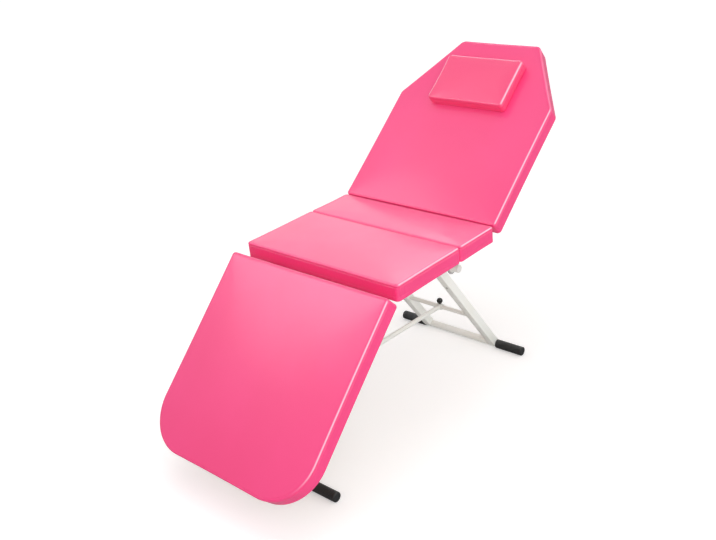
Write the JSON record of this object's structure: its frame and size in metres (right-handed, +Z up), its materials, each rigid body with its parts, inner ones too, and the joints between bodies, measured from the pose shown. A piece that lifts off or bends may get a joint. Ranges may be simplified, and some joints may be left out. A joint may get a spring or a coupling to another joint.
{
  "type": "folding massage table",
  "caption": "Folding massage couch with a reclining back rest, a drop-down leg rest, a head pillow and folding tube trestles joined by a stay.",
  "frame": {"origin": "on the floor, below the middle of the table's length and width as it stands", "axes": "+X from the foot end to the head end, +Y to the left when looking along +X, +Z up"},
  "size_m": [1.4993, 0.624, 0.985],
  "materials": {
    "vinyl": "gloss",
    "vinyl_dark": "gloss",
    "board": "matte",
    "frame": "satin",
    "plates": "satin",
    "steel": "satin",
    "plastic_white": "matte",
    "rubber": "matte",
    "plastic_black": "gloss"
  },
  "bodies": {
    "seat": {"seat_pad": "vinyl", "strip_pad": "vinyl", "seat_board": "board", "strip_board": "board", "seat_rail_left": "frame", "seat_rail_right": "frame", "seat_crossrail_front": "frame", "seat_crossrail_middle": "frame", "seat_crossrail_rear": "frame", "rear_bracket_left": "plates", "rear_bracket_right": "plates", "front_bracket_left": "plates", "front_bracket_right": "plates", "pivot_bushes": "plastic_white", "seat_hinge_plates_back": "plates", "seat_hinge_plates_leg": "plates", "ratchet_wheels": "steel", "hinge_pins": "steel", "seat_rail_plugs": "plastic_white", "seat_board_screws": "steel"},
    "back": {"back_pad": "vinyl", "pillow": "vinyl_dark", "back_board": "board", "back_rail_left": "frame", "back_rail_right": "frame", "back_crossrail_lower": "frame", "back_crossrail_upper": "frame", "back_hinge_plates": "plates", "back_pawls": "steel", "back_rail_plugs": "plastic_white", "back_board_screws": "steel"},
    "leg_rest": {"leg_pad": "vinyl", "leg_board": "board", "leg_rail_left": "frame", "leg_rail_right": "frame", "leg_crossrail_upper": "frame", "leg_crossrail_lower": "frame", "leg_hinge_plates": "plates", "leg_pawls": "steel", "leg_rail_plugs": "plastic_white", "leg_board_screws": "steel"},
    "rear_trestle": {"rear_leg_left": "frame", "rear_leg_right": "frame", "rear_pivot_tube": "frame", "rear_crossbar": "frame", "rear_ground_bar": "frame", "rear_sleeve_left": "rubber", "rear_sleeve_right": "rubber", "pivot_tube_caps_rear": "plastic_white"},
    "front_trestle": {"front_leg_left": "frame", "front_leg_right": "frame", "front_pivot_tube": "frame", "front_crossbar": "frame", "front_ground_bar": "frame", "front_sleeve_left": "rubber", "front_sleeve_right": "rubber", "pivot_tube_caps_front": "plastic_white"},
    "stay": {"stay_rod": "frame", "stay_collar": "frame"},
    "knob": {"ball_knob": "plastic_black"}
  },
  "joints": [
    {"name": "back_recline", "type": "hinge", "parent": "seat", "child": "back", "pos_m": [0.2206, 0, 0.517], "axis": [0, -1, 0], "range_deg": [-39, 5]},
    {"name": "leg_rest_tilt", "type": "hinge", "parent": "seat", "child": "leg_rest", "pos_m": [-0.27117, 0, 0.505], "axis": [0, 1, 0], "range_deg": [-12, 44.2]},
    {"name": "rear_fold", "type": "hinge", "parent": "seat", "child": "rear_trestle", "pos_m": [0.08783, 0, 0.462], "axis": [0, -1, 0], "range_deg": [0, 51]},
    {"name": "front_fold", "type": "hinge", "parent": "seat", "child": "front_trestle", "pos_m": [-0.21017, 0, 0.462], "axis": [0, -1, 0], "range_deg": [0, 118]},
    {"name": "stay_swing", "type": "hinge", "parent": "rear_trestle", "child": "stay", "pos_m": [0.2942, 0, 0.17192], "axis": [0, -1, 0], "range_deg": [-48.8, 0]},
    {"name": "knob_turn", "type": "hinge", "parent": "stay", "child": "knob", "pos_m": [0.2942, 0, 0.17192], "axis": [0.0384, 0, 0.9993], "range_deg": [0, 180]}
  ],
  "couplings": [
    {"joint": "front_fold", "follows": "rear_fold", "ratio": 2.31},
    {"joint": "stay_swing", "follows": "rear_fold", "ratio": -0.95686}
  ]
}
